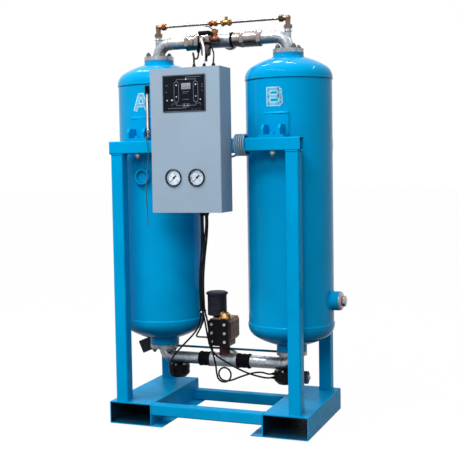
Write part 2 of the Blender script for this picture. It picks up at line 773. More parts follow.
# The looks: maker, name, colour or the name of a user's colour, and what else the maker takes
FINISHES = {
    "enamel": (enamel_finish, "blue_enamel", "enamel"),
    "enamel_base": (enamel_finish, "blue_enamel_base", "enamel", 0.1, (0.32, 0.46), 0.03),
    "enamel_frame": (enamel_finish, "blue_enamel_frame", "enamel", 0.0, (0.24, 0.36), 0.028),
    "rod": (enamel_finish, "rod_enamel", (0.0, 0.1, 0.17)),
    "pocket": (enamel_finish, "pocket_primer", (0.003, 0.04, 0.08), 0.06, (0.4, 0.6), 0.05),
    "zinc": (zinc_finish, "galvanised_pipe", "zinc"),
    "nut": (zinc_finish, "yellow_zinc_nuts", (0.15, 0.14, 0.12), (0.3, 0.46), 0.4),
    "dark_zinc": (zinc_finish, "cut_thread", (0.3, 0.31, 0.32), (0.3, 0.5), 0.7),
    "bolt": (zinc_finish, "zinc_bolts", (0.62, 0.62, 0.6), (0.25, 0.42), 0.25),
    "mesh": (zinc_finish, "screen_mesh", (0.5, 0.5, 0.5)),
    "nickel": (plated_finish, "nickel_plate", "nickel"),
    "steel": (plated_finish, "drawn_tube", (0.36, 0.33, 0.31), (0.22, 0.36), (0.2, 1, 1)),
    "brass": (plated_finish, "turned_brass", "brass", (0.2, 0.34)),
    "bright_brass": (plated_finish, "bright_brass", (0.8, 0.4, 0.15), (0.3, 0.45)),
    "old_brass": (plated_finish, "aged_brass", (0.26, 0.17, 0.13), (0.26, 0.42)),
    "dark_bronze": (plated_finish, "dark_bronze", (0.07, 0.06, 0.05), (0.3, 0.45)),
    "copper": (plated_finish, "copper_nuts", "copper", (0.2, 0.36)),
    "smoked": (plated_finish, "bowl_guard", (0.16, 0.12, 0.12), (0.18, 0.3)),
    "black": (plastic_finish, "black_plastic", "black", (0.42, 0.58), 900, 0.12, 0.09),
    "rubber": (plastic_finish, "black_rubber", "black", (0.6, 0.75), 600, 0.2, 0.05),
    "cable": (plastic_finish, "cable_sheath", "black", (0.35, 0.5), 1200, 0.06, 0.1),
    "charcoal": (plastic_finish, "charcoal_plastic", (0.021, 0.021, 0.033), (0.5, 0.66), 700, 0.2, 0.15),
    "bezel": (plastic_finish, "gauge_bezel", (0.006, 0.014, 0.028), (0.22, 0.34), 900, 0.04, 0.15),
    "panel_rim": (plastic_finish, "panel_rim", (0.16, 0.19, 0.23), (0.3, 0.4), 900, 0.03),
    "lamp": (plastic_finish, "panel_lamp", (0.72, 0.76, 0.8), (0.2, 0.3), 900, 0.02),
    "dial": (plastic_finish, "dial_face", "dial", (0.5, 0.6), 2000, 0.02),
    "ink": (plastic_finish, "black_ink", (0.01, 0.01, 0.012), (0.5, 0.6), 2000, 0.02),
    "white_tube": (plastic_finish, "white_tube", (0.75, 0.78, 0.8), (0.3, 0.45), 900, 0.04),
    "vent_tube": (plastic_finish, "vent_tube", (0.02, 0.1, 0.17), (0.3, 0.45), 900, 0.04),
    "sight_glass": (plastic_finish, "sight_glass", (0.74, 0.74, 0.8), (0.14, 0.24), 900, 0.03, 0.5),
    "grey_hose": (plastic_finish, "grey_hose", (0.16, 0.26, 0.37), (0.12, 0.22), 900, 0.03, 0.6),
    "letter": (plastic_finish, "letter_film", "letter", (0.35, 0.5), 900, 0.03),
    "letter_rim": (plastic_finish, "letter_rim", (0.46, 0.7, 0.8), (0.35, 0.5), 900, 0.03),
    "screen": (plastic_finish, "screen_film", (0.006, 0.008, 0.014), (0.24, 0.34), 900, 0.02, 0.06),
    "print": (plastic_finish, "screen_print", (0.24, 0.27, 0.31), (0.4, 0.5), 900, 0.02),
    "lcd": (plastic_finish, "readout_window", (0.25, 0.28, 0.32), (0.2, 0.3), 900, 0.02),
    "board": (plastic_finish, "circuit_board", (0.02, 0.12, 0.06), (0.4, 0.5), 900, 0.05),
    "beads": (plastic_finish, "desiccant", (0.7, 0.68, 0.6), (0.6, 0.8), 250, 0.8),
    "gasket": (plastic_finish, "gasket", (0.03, 0.03, 0.03), (0.7, 0.85), 400, 0.2),
    "box": (powder_finish, "box_powder_coat", "box"),
    "casting": (cast_finish, "brown_casting", "casting", (0.36, 0.18, 0.13)),
    "lens": (clear_finish, "gauge_glass", (1.0, 1.0, 1.0)),
    "acrylic": (clear_finish, "indicator_acrylic", (0.96, 0.98, 1.0)),
}

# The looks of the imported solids
CAD_FINISH = {
    "enamel_base": ["base_channel_left", "base_channel_right", "cross_member_front", "cross_member_rear"],
    "enamel": ["posts", "beam_front", "beam_rear", "tower_a", "tower_b", "tower_lugs", "fill_plugs"],
    "rod": ["stay_rods"],
    "zinc": ["top_elbow_a", "top_elbow_b", "bottom_elbow_a", "bottom_elbow_b", "pipe_nipples",
             "outlet_tee", "inlet_tee", "drain_plugs"],
    "bolt": ["frame_bolts", "flange_bolts", "valve_screws"],
    "nickel": ["check_valves"],
    "steel": ["purge_tube"],
    "brass": ["brass_fittings"],
    "black": ["filter_head", "filter_bowl", "valve_cover", "exhaust_valves", "cable_glands", "indicator_ends",
              "gauge_cases"],
    "rubber": ["couplings"],
    "charcoal": ["silencer_body", "silencer_cap", "solenoids"],
    "casting": ["centre_valve"],
    "box": ["box_cover", "box_back"],
    "dial": ["gauge_dials"],
    "ink": ["gauge_pointer_left", "gauge_pointer_right"],
    "lens": ["gauge_lenses"],
    "screen": ["display_panel"],
    "acrylic": ["indicator_tube"],
    "grey_hose": ["beam_hose"],
    "board": ["controller_board"],
    "beads": ["desiccant_beds"],
    "mesh": ["bed_screens"],
    "gasket": ["flange_gaskets"],
    "cable": ["cable_valve", "cable_left", "cable_right", "cable_sensor", "cable_top"],
    "white_tube": ["air_line_top", "vent_line"],
}
MADE = {}


def finish_of(look):
    """The material of a look, made on first use."""
    if look not in MADE:
        maker, name, colour, *more = FINISHES[look]
        if isinstance(colour, str):
            colour = tuple(getattr(bpy.context.scene.dryer_colours, colour))
        MADE[look] = maker(name, colour, *more)
    return MADE[look]


# Pieces

class DRYER_OT_solids(bpy.types.Operator):
    """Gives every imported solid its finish"""

    bl_idname = "dryer.solids"
    bl_label = "Finish the solids"

    def execute(self, context):
        for look, names in CAD_FINISH.items():
            for name in names:
                node = NODES[name]
                node.data.materials.clear()
                node.data.materials.append(finish_of(look))
        bare = set(NODES) - {n for names in CAD_FINISH.values() for n in names}
        if bare:
            raise RuntimeError(f"no finish for {sorted(bare)}")
        return {"FINISHED"}


class DRYER_OT_frame(bpy.types.Operator):
    """Models the fork channels, posts, beams and lugs with their weld beads"""

    bl_idname = "dryer.frame"
    bl_label = "Frame"

    def execute(self, context):
        edge = context.scene.dryer_sizes.edge
        for side, way in (("left", -1), ("right", 1)):
            channel = from_solid(f"base_channel_{side}", f"fork_channel_{side}", "enamel_base", edge)
            middle = way * CHANNEL_X
            repaint(channel, lambda c, n: self.in_pocket(c / MM, n, middle), "pocket")
        for node in ("cross_member_front", "cross_member_rear"):
            from_solid(node, node + "_painted", "enamel_base", edge)
        for node in ("posts", "beam_front", "beam_rear", "tower_lugs"):
            from_solid(node, node + "_painted", "enamel_frame", edge)
        self.welds()
        return {"FINISHED"}

    def in_pocket(self, centre, normal, middle):
        """Whether a face lies inside a channel, between its end rims."""
        return (abs(centre.x - middle) < POCKET_HALF and POCKET_FLOOR < centre.z < POCKET_TOP
                and abs(normal.y) < 0.5)

    def welds(self):
        beads = []
        for x in (-POST_X, POST_X):
            for y in (-POST_Y, POST_Y):
                for z in (CHANNEL_H + 1, BEAM_Z - 1):
                    loop = [at(x + u, y + v, z) for u, v in square_loop(TUBE / 2, TUBE / 2, 6)]
                    beads.append(weld_path(loop, thick=2.6, seed=len(beads) + 1))
        for x in (1 - CROSS_END, CROSS_END - 1):
            for y, z in CROSS_MEMBERS:
                loop = [at(x, y + u, z + v) for u, v in square_loop(CROSS_HALF, CROSS_HALF, 6)]
                beads.append(weld_path(loop, thick=2.2, seed=len(beads) + 1))
        for x in (-TOWER_X, TOWER_X):
            for way in (-1, 1):
                beads.append(self.pad_weld(x, way, len(beads) + 1))
        grouped("frame_welds", beads, "enamel")

    def pad_weld(self, x, way, seed):
        """Round the pad of a lug, up one side, over the top and down the other."""
        half, low, top = 48.5, BEAM_TOP + 14, BEAM_TOP + 90
        sides = [[(u, low), (u, top)] for u in (-half, half)]
        over = [(u, top) for u in (-46, -36, -24, -12, 0, 12, 24, 36, 46)]
        beads = []
        for path, thick, lift in ((sides[0], 3.2, 1), (sides[1], 3.2, 1), (over, 7.0, 0.5)):
            points = [at(x + u, way * math.sqrt((TOWER_R + lift) ** 2 - u * u), z) for u, z in path]
            beads.append(weld_path(points, thick, seed, closed=False))
        return joined("pad_weld", beads)


class DRYER_OT_towers(bpy.types.Operator):
    """Models the vessels with their weld beads, port plugs and letters"""

    bl_idname = "dryer.towers"
    bl_label = "Towers"

    def execute(self, context):
        self.vessels()
        beads = []
        for way in (-1, 1):
            x = way * TOWER_X
            for z in NECK_WELDS:
                beads.append(bead(NECK_R, at(x, 0, z), thick=3.4, seed=len(beads) + 1))
            beads.append(self.port_weld(x, FILL_Z, FILL_BOSS_R, "Y", way, len(beads) + 1))
            beads.append(self.port_weld(x, DRAIN_Z, DRAIN_BOSS_R, "X", way, len(beads) + 1))
        grouped("tower_welds", beads, "enamel")
        self.plugs()
        a_lines = [[(-25, -27), (-5.5, 27), (5.5, 27), (25, -27)], [(-16, -11), (16, -11)]]
        b_lines = [[(-24, -27), (-24, 27), (13, 27), (19, 21), (19, 7), (14, 1), (-24, 1)],
                   [(14, 1), (22, -6), (22, -21), (16, -27), (-24, -27)]]
        for name, node, x, lines in (("A", "tower_a", -TOWER_X, a_lines), ("B", "tower_b", TOWER_X, b_lines)):
            self.letter(name, node, x, lines, thick=16.5, lift=0.45, look="letter_rim")
            self.letter(name, node, x, lines, thick=10.5, lift=0.7, look="letter")
        return {"FINISHED"}

    def dish(self, wall, end):
        """A dished end from the shell inwards to a radius, set in by a wall."""
        radius, crown, knuckle = TOWER_R - wall, CROWN_R - wall, KNUCKLE_R - wall
        out = radius - knuckle
        drop = math.sqrt((crown - knuckle) ** 2 - out ** 2)
        bend = math.atan2(drop, out)
        last = math.acos(end / crown)
        steps = 12
        bends = [bend * i / steps for i in range(steps)]
        turns = [bend + (last - bend) * i / steps for i in range(steps + 1)]
        points = [(out + knuckle * math.cos(turn), knuckle * math.sin(turn)) for turn in bends]
        return points + [(crown * math.cos(turn), crown * math.sin(turn) - drop) for turn in turns]

    def vessels(self):
        """Both pressure vessels: shell with rolled skirts, dished ends, necks and port bosses."""
        outside, inside = self.dish(-SKIRT_PROUD, NECK_R), self.dish(VESSEL_WALL, BORE_R)
        lip = [(2.6, 0.6), (2.9, 2.2), (2.9, 5.0), (2.2, 6.6), (0, 9.4)]
        skirt = [(0, 10.5), (-1.8, 9.9), (-1.8, 7.2), (1.6, 6.6), (2.8, 5.4), (2.9, 2.2), (2.6, 0.6)]
        shape = [(BORE_R, NECK_BOTTOM), (NECK_R, NECK_BOTTOM)]
        shape += [(r, SEAM_LOW - h) for r, h in reversed(outside)]
        shape += [(TOWER_R + r, SEAM_LOW + h) for r, h in lip]
        shape += [(TOWER_R, SEAM_LOW + (SEAM_TOP - SEAM_LOW) * i / 8) for i in range(1, 8)]
        shape += [(TOWER_R + r, SEAM_TOP - h) for r, h in skirt]
        shape += [(r, SEAM_TOP + h) for r, h in outside]
        shape += [(NECK_R, NECK_TOP), (BORE_R, NECK_TOP)]
        shape += [(r, SEAM_TOP + h) for r, h in reversed(inside)] + [(r, SEAM_LOW - h) for r, h in inside]
        shape.append(shape[0])
        fill = [(23.5, -8), (30.5, -8), (30.5, 16.4), (29.2, 18), (25, 18), (23.5, 16.6), (23.5, -8)]
        drain = [(26, -9), (37, -9), (37, 26.6), (35.6, 28), (27.2, 28), (26, 26.8), (26, -9)]
        for name, way in (("a", -1), ("b", 1)):
            parts = [turned(shape, at(way * TOWER_X, 0, 0), steps=128),
                     turned(fill, at(way * TOWER_X, way * TOWER_R, FILL_Z), facing("Y", way)),
                     turned(drain, at(way * (TOWER_X + TOWER_R), 0, DRAIN_Z), facing("X", way))]
            grouped(f"vessel_{name}", parts, "enamel", [f"tower_{name}"])

    def port_weld(self, x, z, radius, axis, way, seed):
        points = []
        for u, v in circle(40, radius + 0.5):
            out = math.sqrt((TOWER_R + 1) ** 2 - u * u) * way
            points.append(at(x + u, out, z + v) if axis == "Y" else at(x + out, u, z + v))
        return weld_path(points, thick=2.8, seed=seed)

    def plugs(self):
        rim = [(0, -5), (23.2, -5), (23.2, 6), (22, 7.4), (19, 8), (17.6, 7), (17, 5.4), (0, 5)]
        cap = [(0, -28), (25.8, -28), (25.8, 0), (35.4, 0), (36, 0.8), (36, 5), (35.2, 6.4), (31.4, 10.4),
               (29.6, 11.2), (0, 11.2)]
        reach = TOWER_X + TOWER_R + DRAIN_BOSS_LENGTH
        rims, caps = [], []
        for way in (-1, 1):
            rims.append(turned(rim, at(way * TOWER_X, way * TOWER_R, FILL_Z), facing("Y", way)))
            axis = facing("X", way)
            caps.append(turned(cap, at(way * reach, 0, DRAIN_Z), axis))
            caps.append(hexagon(36, 12.5, at(way * (reach + 10.8), 0, DRAIN_Z), axis, spin=0.3))
        grouped("filling_plugs", rims, "enamel", ["fill_plugs"])
        plugs = grouped("emptying_plugs", caps, "dark_zinc", ["drain_plugs"])
        repaint(plugs, lambda c, n: abs(c.x) > (reach + 10.4) * MM, "nickel")

    def letter(self, name, node, x, lines, thick, lift, look):
        """One letter of thick strokes, laid on the shell as film."""
        parts = []
        for middle, length, slope in stretches(lines):
            start_clean()
            bpy.ops.mesh.primitive_grid_add(x_subdivisions=8, y_subdivisions=3, size=MM)
            part = bpy.context.object
            part.matrix_world = (Matrix.Translation(middle * MM) @ Matrix.Rotation(-slope, 4, "Y")
                                 @ Matrix.Rotation(math.pi / 2, 4, "X")
                                 @ Matrix.Diagonal((length + thick * 0.8, thick, 1, 1)))
            parts.append(settle(part))
        obj = joined(f"letter_{name}_{look}", parts)
        obj.location = at(x - 4, -TOWER_R - 12, LETTER_Z)
        settle(obj)
        applied(obj, "SHRINKWRAP", target=NODES[node], wrap_method="PROJECT", use_project_y=True,
                use_negative_direction=False, use_positive_direction=True, offset=lift * MM)
        dress(smooth(thicken(obj, 0.3 * MM)), look)


class DRYER_OT_fasteners(bpy.types.Operator):
    """Models the lug bolts, the box bolts and the flange studs with their nuts"""

    bl_idname = "dryer.fasteners"
    bl_label = "Fasteners"

    def execute(self, context):
        sides = (-TOWER_X, TOWER_X)
        lugs = [(at(x, y, BEAM_Z), "Z") for x in sides for y in (-POST_Y, POST_Y)]
        middle = BEAM_Z + TUBE / 2
        wall = [(at(BOX_X + x, TUBE / 2 - POST_Y, middle), "-Y") for x in (-BOX_BOLT_X, BOX_BOLT_X)]
        made = []
        for grip, spots in ((LUG_GRIP, lugs), (BOX_GRIP, wall)):
            made += copies(self.bolt(grip), [(*spot, 0.35 * i) for i, spot in enumerate(spots)])
        bolts = grouped("frame_bolts_and_nuts", made, "bolt", ["frame_bolts"])
        repaint(bolts, lambda c, n: c.z > BEAM_TOP * MM, "enamel")
        spots = []
        for x in sides:
            for z, axis in ((NECK_TOP, "Z"), (NECK_BOTTOM, "-Z")):
                for i, (u, v) in enumerate(circle(4, BOLT_RING, 45)):
                    spots.append((at(x + u, v, z), axis, 0.5 * i + x))
        grouped("flange_studs", copies(self.stud(), spots), "nut", ["flange_bolts"])
        return {"FINISHED"}

    def washer(self, z, way):
        face = [(6, 0), (11.8, 0), (12.2, 0.4), (12.2, 1.6), (11.8, 2), (6, 2), (6, 0)]
        return turned(face, Vector((0, 0, z)) * MM, facing("Z", way), 32)

    def bolt(self, grip):
        up = Vector((0, 0, MM))
        shank = [(0, -18.6), (4.6, -18.6)] + thread(6, -17.8, 8) + [(5.9, -9), (5.9, grip + 2), (0, grip + 2)]
        return joined("bolt", [
            turned(shank, up * 0, "Z", 24), self.washer(0, -1), self.washer(grip, 1),
            hexagon(18, 8.8, up * -10.8), hexagon(18, 7, up * (grip + 2), spin=0.2)])

    def stud(self):
        up = Vector((0, 0, MM))
        shank = [(0, -8.8), (5.9, -8.8), (5.9, 27)] + thread(6, 27.4, 7) + [(4.4, 35), (0, 35)]
        return joined("stud", [turned(shank, up * 0, "Z", 24), self.washer(18, 1), hexagon(18, 9, up * 20)])


class DRYER_OT_box(bpy.types.Operator):
    """Models the control box and its operating panel"""

    bl_idname = "dryer.box"
    bl_label = "Control box"

    def execute(self, context):
        from_solid("box_cover", "box_shell", "box", 0.6 * MM)
        from_solid("display_panel", "operating_panel", "screen", 0.8 * MM)
        self.panel_lines()
        self.readout()
        self.lamps_and_keys()
        return {"FINISHED"}

    def panel_lines(self):
        """A border and a flow chart of the two towers, with dashes where small print stands."""
        x, z, wide, high = DISPLAY
        face = at(x, PANEL_FACE, z)
        u, v = wide / 2 - 2.2, high / 2 - 2.2
        border = [[(-u, -v), (u, -v), (u, v), (-u, v), (-u, -v)]]
        dress(strokes("panel_border", border, 1.3, 0.25, face), "panel_rim")
        towers = [[(a, 20), (a, 34), (a + 3, 41), (b - 3, 41), (b, 34), (b, -24), (b - 3, -31), (a + 3, -31),
                   (a, -24), (a, 20)] for a, b in ((-38, -20), (38, 56))]
        pipes = [
            [(-29, 41), (-29, 50), (47, 50), (47, 41)], [(9, 50), (9, 58), (66, 58)],
            [(-29, -31), (-29, -44), (47, -44), (47, -31)], [(9, -44), (9, -53), (-62, -53)],
            [(-3, -38), (21, -38), (21, -50), (-3, -50), (-3, -38)],
            [(-47, -44), (-47, -37), (-29, -37)], [(65, -44), (65, -37), (47, -37)],
        ]
        dashes = ((70, 76, 30), (70, 76, 22), (70, 76, 6), (-72, -64, 30), (-72, -66, 6), (-4, 22, 6),
                  (-4, 14, 0), (-4, 18, -22))
        marks = [[(a, level), (b, level)] for a, b, level in dashes]
        dress(strokes("panel_lines", towers + pipes + marks, 0.9, 0.2, face), "print")

    def readout(self):
        x, z = DISPLAY[:2]
        pane = block((36, 0.6, 22), at(x + 9, PANEL_FACE - 0.2, z + 25), 0.25)
        grouped("readout", [pane], "lcd")
        segments = []
        for i, digit in enumerate(((1, 1, 0, 1), (1, 1, 1, 1), (0, 1, 1, 0))):
            left = -3 + i * 9
            right = left + 5
            bars = [[(left, 31), (right, 31)], [(right, 31), (right, 19)], [(left, 25), (right, 25)],
                    [(left, 19), (left, 25)]]
            segments += [bar for bar, lit in zip(bars, digit) if lit]
        digits = strokes("readout_digits", segments, 0.9, 0.2, at(x, PANEL_FACE - 0.5, z))
        dress(digits, "ink")

    def lamps_and_keys(self):
        x, z = DISPLAY[:2]
        lens = [(0, 0.5), (0.75, 0.45), (1, 0.2), (1, 0), (0, 0)]
        spots = [(-29, 30, 2.6), (47, 30, 2.6), (-47, -24, 3.2), (-66, -24, 2.2), (65, -24, 2.2),
                 (9, 50, 2.4), (3, -44, 2.0), (15, -44, 2.0), (-29, -12, 2.2), (47, -12, 2.2)]
        lamps = [turned([(r * size, h) for r, h in lens], at(x + a, PANEL_FACE, z + b), "-Y", 20)
                 for a, b, size in spots]
        grouped("panel_lamps", lamps, "lamp")
        keys = [block((9, 1.0, 6), at(x + a, PANEL_FACE - 0.4, z - 59), 0.4) for a in (34, 48, 62)]
        grouped("panel_keys", keys, "charcoal")


class DRYER_OT_gauges(bpy.types.Operator):
    """Models the pressure gauges with their bezels, scales and glasses"""

    bl_idname = "dryer.gauges"
    bl_label = "Gauges"

    def execute(self, context):
        case = [(0, -42), (27.6, -42), (29, -40.6), (29, -0.3), (31.6, 0), (32.5, 0.7), (32.5, 3.6),
                (32, 4.9), (30.8, 5.8), (29.4, 6), (28.2, 5.4), (27.6, 4.4), (27.5, 3.4), (27.5, -7), (0, -7)]
        glass = [(0, 5.7), (9, 5.55), (17, 5.2), (23, 4.7), (27.2, 4), (27.2, 3), (0, 3)]
        spindle = [(0, -8), (2, -8), (2, 1), (1.4, 1.8), (0, 1.8)]
        cases, glasses, inks = [], [], []
        for x in GAUGE_X:
            front = at(x, BOX_FRONT, GAUGE_Z)
            cases.append(turned(case, front, "-Y", 64))
            cases.append(hexagon(16, 16, at(x, BOX_FRONT + 58, GAUGE_Z), "-Y"))
            cases.append(turned(spindle, front, "-Y", 20))
            glasses.append(turned(glass, front, "-Y", 64))
            inks += self.scale(at(x, BOX_FRONT + 6, GAUGE_Z))
        grouped("gauge_housings", cases, "bezel", ["gauge_cases"])
        grouped("gauge_glasses", glasses, "lens", ["gauge_lenses"], angle=50)
        dress(joined("gauge_scales", inks), "ink")
        return {"FINISHED"}

    def on_scale(self, part, radius):
        """The point at a part of the scale, which runs clockwise."""
        turn = math.radians(SCALE_START - SCALE_SWEEP * part)
        return radius * math.cos(turn), radius * math.sin(turn)

    def scale(self, place):
        """Ticks, an arc and numbers."""
        ticks = []
        for i in range(SCALE_TICKS + 1):
            inner = 18.6 if i % 4 == 0 else 20.6 if i % 2 == 0 else 21.6
            ticks.append([self.on_scale(i / SCALE_TICKS, r) for r in (inner, 24.2)])
        steps = 48
        arc = [self.on_scale(i / steps, 24.6) for i in range(steps + 1)]
        parts = [strokes("ticks", ticks, 0.55, 0.12, place), strokes("arc", [arc], 0.5, 0.12, place)]
        for value in range(0, SCALE_END + 1, 4):
            text = thicken(words(str(value), 3.0 if value < 10 else 5.4, 4.6, 0.001), 0.12 * MM)
            u, v = self.on_scale(value / SCALE_END, 14.6)
            text.location = place + Vector((u, -0.14, v)) * MM
            parts.append(settle(text))
        return parts


class DRYER_OT_pipes(bpy.types.Operator):
    """Models the flanged elbows, tees, couplings and check valves"""

    bl_idname = "dryer.pipes"
    bl_label = "Pipework"

    def execute(self, context):
        flange = NECK_BOTTOM - GASKET_T - FLANGE_T
        elbows = [f"{level}_elbow_{tower}" for level in ("top", "bottom") for tower in "ab"]
        for node in elbows + ["outlet_tee", "inlet_tee"]:
            obj = from_solid(node, node + "_cast", "zinc", 1.3 * MM)
            if "bottom" in node:
                repaint(obj, lambda c, n: c.z > (flange - 0.5) * MM, "dark_zinc")
            if node == "inlet_tee":
                repaint(obj, lambda c, n: c.z > (LOW_LINE + PIPE_R + 3) * MM, "casting")
        welds = []
        for way in (-1, 1):
            x = way * TOWER_X
            for z in (NECK_TOP + GASKET_T + FLANGE_T + 1, flange - 1):
                welds.append(bead(PIPE_R + 1, at(x, 0, z), thick=2.6, seed=len(welds) + 1))
            riser = at(x, 0, TOP_LINE + 19.5)
            welds.append(bead(RISER_R, riser, thick=2.4, seed=len(welds) + 1))
            for run, z in ((224, TOP_LINE), (236, LOW_LINE)):
                joint = at(way * run, 0, z)
                welds.append(bead(PIPE_R - 0.2, joint, thick=1.6, seed=len(welds) + 1, axis="X"))
        grouped("pipe_welds", welds, "zinc")
        cut = [(23.4, 0)] + thread(24.4, 0.3, 9, 2.2) + [(23.4, 10), (23.4, 0)]
        ends = ((-150, -1, TOP_LINE), (168, 1, TOP_LINE), (-116, -1, LOW_LINE), (103, 1, LOW_LINE))
        threads = [turned(cut, at(x, 0, z), facing("X", way)) for x, way, z in ends]
        grouped("pipe_threads", threads, "dark_zinc", angle=20)
        self.couplings()
        self.check_valves()
        return {"FINISHED"}

    def both_ends(self, end, length):
        """A closed profile whose two ends mirror each other."""
        return end + [(r, length - h) for r, h in reversed(end)] + [end[0]]

    def couplings(self):
        end = [(20.9, 0), (27.2, 0), (28, 0.8), (28, 1.8), (29.5, 2.2), (30, 3), (30, 8.6),
               (29.4, 9.6), (28, 10.4)]
        rib = [(27.8, -3), (28.8, -2.4), (28.8, 2.4), (27.8, 3), (27.8, -3)]
        runs = ((-92, 30, TOP_LINE), (42, 40, TOP_LINE), (-116, 50, LOW_LINE), (48, 55, LOW_LINE))
        parts = []
        for x, length, z in runs:
            parts.append(turned(self.both_ends(end, length), at(x, 0, z), "X"))
            if length > 36:
                parts.append(turned([(r, length / 2 + h) for r, h in rib], at(x, 0, z), "X"))
        bands = grouped("black_couplings", parts, "rubber", ["couplings"])
        plated_from = 56.5
        repaint(bands, lambda c, n: c.z > BEAM_TOP * MM and c.x > plated_from * MM, "nickel")

    def check_valves(self):
        end = [(21, 15.6), (28.6, 15.8), (29.4, 17), (29.4, 18.6), (31.2, 19.2), (32, 20.2), (32, 23)]
        parts = []
        for x, length in ((-150, 58), (82, 86)):
            for start in (x, x + length - 16):
                parts.append(hexagon(56, 16, at(start, 0, TOP_LINE), "X", spin=math.pi / 2))
            parts.append(turned(self.both_ends(end, length), at(x, 0, TOP_LINE), "X"))
        grouped("check_valve_bodies", parts, "nickel", ["check_valves"])


class DRYER_OT_purge(bpy.types.Operator):
    """Models the purge fittings and the pilot filter"""

    bl_idname = "dryer.purge"
    bl_label = "Purge line and filter"

    def execute(self, context):
        obj = from_solid("brass_fittings", "turned_fittings", "brass", 0.6 * MM)
        # The left fitting, the end elbows, their nuts and the filter's elbow have metals of their own
        low = (PURGE_LINE - 45) * MM
        repaint(obj, lambda c, n: c.z > low and -0.06 < c.x < -0.01, "copper")
        repaint(obj, lambda c, n: c.z > low and (c.x > 0.237 or c.x < -0.262), "old_brass")
        repaint(obj, lambda c, n: c.z > low and -0.258 < c.x < -0.237, "copper")
        repaint(obj, lambda c, n: c.z > low and 0.237 < c.x < 0.258, "dark_bronze")
        repaint(obj, lambda c, n: 1.47 < c.z < low and abs(c.x + 0.006) < 0.03, "copper")
        ring = [(6.1, 0), (8.4, 0), (8.8, 0.5), (8.4, 3.2), (6.6, 4.6), (6.1, 4.6), (6.1, 0)]
        ends = ((-240, 1), (240, -1), (-49, -1), (-19, 1), (2, -1), (40, 1))
        ferrules = [turned(ring, at(x, 0, PURGE_LINE), facing("X", way), 32) for x, way in ends]
        grouped("purge_ferrules", ferrules, "brass")
        self.filter()
        return {"FINISHED"}

    def filter(self):
        x, y, z = FILTER
        lid = block((47, 48, 13), at(x, y, z + 39.5), 3.2)
        rim = block((44, 45, 3), at(x, y, z + 31.6), 0.8)
        grouped("filter_lid", [lid, rim], "black", ["filter_head"])
        body = [block((42, 43, 30), at(x, y, z + 15.4), 4.5), block((45, 20, 22), at(x, y, z + 15), 3),
                block((20, 46, 22), at(x, y, z + 15), 3)]
        grouped("filter_body", body, "nickel")
        self.lever()
        collar = [(0, 0), (22.4, 0), (23, -0.8), (23, -7), (22, -8), (0, -8)]
        nib = [(0, -50), (6, -50), (6.6, -51), (6.6, -55), (5.4, -56), (5, -63), (5.4, -64), (5.2, -69),
               (4, -70), (0, -70)]
        grips = [block((2.4, 2.4, 6.6), at(x + u, y + v, z - 4), 0.6, 2) for u, v in circle(12, 22.4)]
        parts = [turned(collar, at(x, y, z)), turned(nib, at(x, y, z), steps=24)] + grips
        grouped("filter_collar", parts, "black")
        cup = [(0, -8), (20.6, -8), (20.6, -12), (20, -30), (19, -42), (17.4, -46), (13, -49), (9, -50.4),
               (0, -50.4)]
        grouped("filter_cup", [turned(cup, at(x, y, z))], "smoked", ["filter_bowl"])

    def lever(self):
        """The bent lever of the cock beside the filter."""
        arc = [(-9, -56, 1540.5), (-13.5, -56.5, 1543), (-19, -57, 1547), (-26, -57.5, 1552.5),
               (-33.5, -58, 1556), (-40, -58.5, 1557.4), (-46, -59, 1557)]
        arm = cord_curve("cock_lever", [at(*p) for p in arc], 1.9)
        take(arm)
        bpy.ops.object.convert(target="MESH")
        hub = [(0, 1541), (5.5, 1541), (6, 1541.6), (6, 1545), (5, 1546), (0, 1546)]
        grouped("cock_lever", [arm, turned(hub, at(-8, -56, 0), steps=24)], "black")


class DRYER_OT_valve(bpy.types.Operator):
    """Models the changeover valve, its cover and its silencer"""

    bl_idname = "dryer.valve"
    bl_label = "Changeover valve"

    def execute(self, context):
        from_solid("centre_valve", "valve_casting", "casting", 2.5 * MM, 3)
        from_solid("valve_cover", "valve_plate", "black", 1.2 * MM)
        from_solid("valve_screws", "cover_screws", "bolt", 0.5 * MM)
        dome = [(0, 0), (24, 0), (24.6, 1), (24.6, 6), (23.4, 7.6), (22.4, 12), (19.4, 18), (14.6, 22.6),
                (8, 25.6), (0, 26.6)]
        grouped("valve_cap", [turned(dome, at(*VALVE_CAP))], "bright_brass")
        outline = square_loop(36, 44, 8)
        rib = strokes("plate_rib", [outline + outline[:1]], 2.0, 0.8, at(*COVER_MIDDLE))
        dress(soften(rib, 0.3 * MM), "black")
        self.silencer()
        return {"FINISHED"}

    def silencer(self):
        foot = at(SILENCER_X, 0, 0)
        wall = [(0, 404), (16.6, 404), (18, 405.2), (18, 410.6), (19.4, 412), (37.4, 412), (39, 413.6),
                (39, 417)]
        rings, first, pitch = 10, 420, 7.2
        for i in range(rings):
            z = first + i * pitch
            wall += [(39, z), (38.2, z + 0.9), (38.2, z + 2.3), (39, z + 3.2)]
        wall += [(39, 494.6), (37.6, 496), (0, 496)]
        grouped("silencer_wall", [turned(wall, foot, steps=64)], "charcoal", ["silencer_body"])
        lid = [(0, 495.8), (42.6, 496), (44, 497.2), (44, 502.4), (43, 504), (41.4, 504.4), (36, 507.4),
               (34, 508), (15, 508), (14, 507), (0, 507)]
        parts = [turned(lid, foot, steps=64)]
        grips = 24
        for i in range(grips):
            grip = block((2.6, 2.6, 5.4), Vector((42.9 * MM, 0, 0)), 0.7, 2)
            parts.append(lay(grip, at(SILENCER_X, 0, 499.8), spin=2 * math.pi * i / grips))
        grouped("silencer_lid", parts, "charcoal", ["silencer_cap"])


